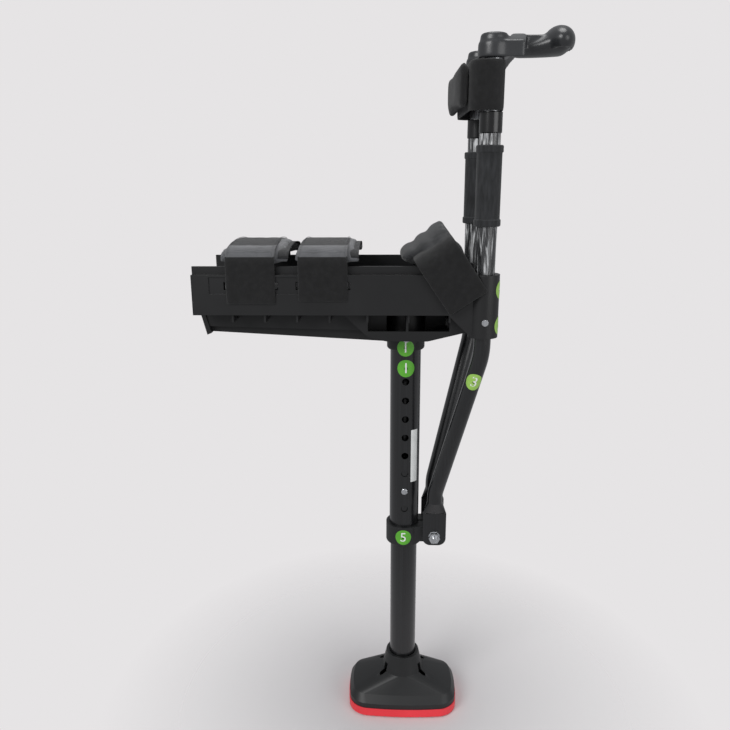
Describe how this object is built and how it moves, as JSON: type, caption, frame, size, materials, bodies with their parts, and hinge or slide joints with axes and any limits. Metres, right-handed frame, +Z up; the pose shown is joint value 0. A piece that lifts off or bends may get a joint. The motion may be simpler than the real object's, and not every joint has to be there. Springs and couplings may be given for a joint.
{
  "type": "hands-free knee crutch",
  "caption": "Hands-free crutch: padded tray for a bent knee and shin on a height-adjustable leg with a wide rubber foot, braced by struts, with thigh uprights, straps and a handle.",
  "frame": {"origin": "centre of the rubber sole on the floor, under the leg's axis", "axes": "+Z up along the leg, +X towards the knee and the handle, +Y to the user's left"},
  "size_m": [0.429, 0.1548, 0.878],
  "materials": {
    "sole_rubber": "matte",
    "foot_moulding": "matte",
    "body_moulding": "satin",
    "beam_moulding": "satin",
    "gloss_moulding": "gloss",
    "black_tube": "gloss",
    "bare_tube": "brushed",
    "clear_film": "clear",
    "foam": "matte",
    "bright_steel": "polished",
    "spring_steel": "plain",
    "webbing": "hook and loop webbing",
    "quilted_fabric": "quilted",
    "cushion_fabric": "foam under knit"
  },
  "bodies": {
    "lower_leg": {"foot_sole": "sole_rubber", "foot_shell": "foot_moulding", "foot_plug": "foot_moulding", "foot_bolt": "bright_steel", "lower_tube": "black_tube", "leg_button_spring": "spring_steel"},
    "leg_button": {"leg_button": "bright_steel"},
    "boss_button": {"boss_button": "bright_steel"},
    "twist_lock_right": {"twist_lock_right": "gloss_moulding"},
    "twist_lock_left": {"twist_lock_left": "gloss_moulding"},
    "handle_frame": {"upper_tube_right": "bare_tube", "upper_tube_left": "bare_tube", "handle": "gloss_moulding", "thigh_strap": "webbing", "thigh_pad": "quilted_fabric"},
    "tray_frame": {"outer_tube": "black_tube", "boss_button_spring": "spring_steel", "tube_clamp": "foot_moulding", "clamp_bolt": "bright_steel", "clamp_nut": "bright_steel", "clamp_washers": "bright_steel", "strut_right": "black_tube", "strut_left": "black_tube", "tray_beam": "beam_moulding", "beam_screws": "bright_steel", "socket_screws": "bright_steel", "knee_tray": "body_moulding", "shin_cushion": "cushion_fabric", "knee_cushion": "cushion_fabric", "shin_strap_rear": "webbing", "shin_strap_front": "webbing", "shin_pad_rear": "quilted_fabric", "shin_pad_front": "quilted_fabric", "knee_strap": "webbing", "knee_strap_pad": "quilted_fabric", "thigh_tube_right": "black_tube", "thigh_tube_left": "black_tube", "film_right": "clear_film", "film_left": "clear_film", "foam_grip_right": "foam", "foam_grip_left": "foam", "lock_collet_right": "gloss_moulding", "lock_collet_left": "gloss_moulding"}
  },
  "joints": [
    {"name": "leg_extension", "type": "slide", "parent": "lower_leg", "child": "tray_frame", "axis": [0, 0, 1], "range_m": [-0.123, 0.0246]},
    {"name": "leg_button_press", "type": "slide", "parent": "lower_leg", "child": "leg_button", "axis": [0, 1, 0], "range_m": [0, 0.0035], "stiffness_N_per_m": 1500, "springref_m": -0.0005, "deforming": ["leg_button_spring"]},
    {"name": "boss_button_press", "type": "slide", "parent": "tray_frame", "child": "boss_button", "axis": [0, 1, 0], "range_m": [0, 0.006], "stiffness_N_per_m": 1500, "springref_m": -0.0005, "deforming": ["boss_button_spring"]},
    {"name": "handle_height", "type": "slide", "parent": "tray_frame", "child": "handle_frame", "axis": [0, 0, 1], "range_m": [0, 0.12]},
    {"name": "twist_lock_right_turn", "type": "hinge", "parent": "tray_frame", "child": "twist_lock_right", "pos_m": [0.0867, -0.0577, 0.773], "axis": [0, 0, 1], "range_deg": [0, 90]},
    {"name": "twist_lock_left_turn", "type": "hinge", "parent": "tray_frame", "child": "twist_lock_left", "pos_m": [0.0867, 0.0577, 0.773], "axis": [0, 0, 1], "range_deg": [0, 90]}
  ]
}
